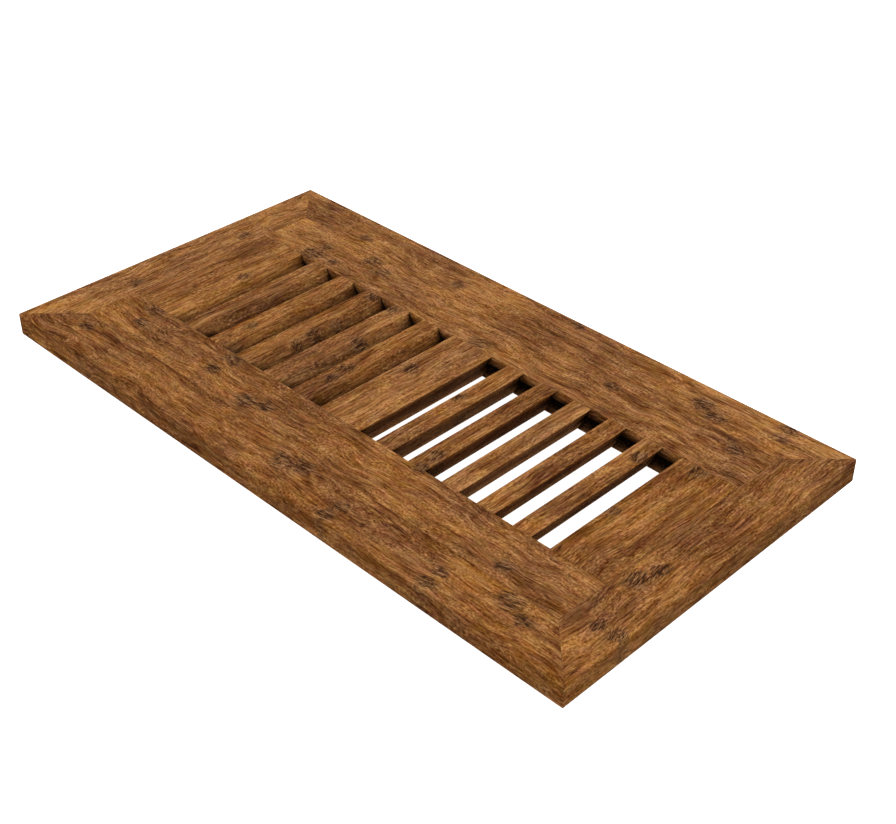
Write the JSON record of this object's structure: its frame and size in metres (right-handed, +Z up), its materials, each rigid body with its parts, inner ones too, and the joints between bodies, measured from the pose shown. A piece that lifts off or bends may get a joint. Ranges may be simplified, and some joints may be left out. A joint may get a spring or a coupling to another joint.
{
  "type": "floor register",
  "caption": "Wooden drop-in floor register: sloped louvres lean to a centre wedge in a bordered grille that rests in a mitred flush frame over a duct opening.",
  "frame": {"origin": "centre of the louvre box, on its underside", "axes": "+X along the register, +Y across it along the louvres, +Z up out of the floor"},
  "size_m": [0.4318, 0.2286, 0.023],
  "materials": {
    "frame": "satin strand-woven bamboo",
    "grille_border": "satin strand-woven bamboo",
    "grille_blocks": "satin strand-woven bamboo",
    "louvres": "satin strand-woven bamboo",
    "carriers": "sanded strand-woven bamboo",
    "splines": "bare hardwood"
  },
  "bodies": {
    "root": {"frame_rail_front": "frame", "frame_rail_back": "frame", "frame_end_left": "frame", "frame_end_right": "frame", "mitre_splines": "splines", "grille_rail_front": "grille_border", "grille_rail_back": "grille_border", "carrier_front": "carriers", "carrier_back": "carriers", "end_block_left": "grille_blocks", "end_block_right": "grille_blocks", "centre_block": "grille_blocks", "louvre_left_1": "louvres", "louvre_left_2": "louvres", "louvre_left_3": "louvres", "louvre_left_4": "louvres", "louvre_left_5": "louvres", "louvre_right_1": "louvres", "louvre_right_2": "louvres", "louvre_right_3": "louvres", "louvre_right_4": "louvres", "louvre_right_5": "louvres"}
  },
  "joints": []
}
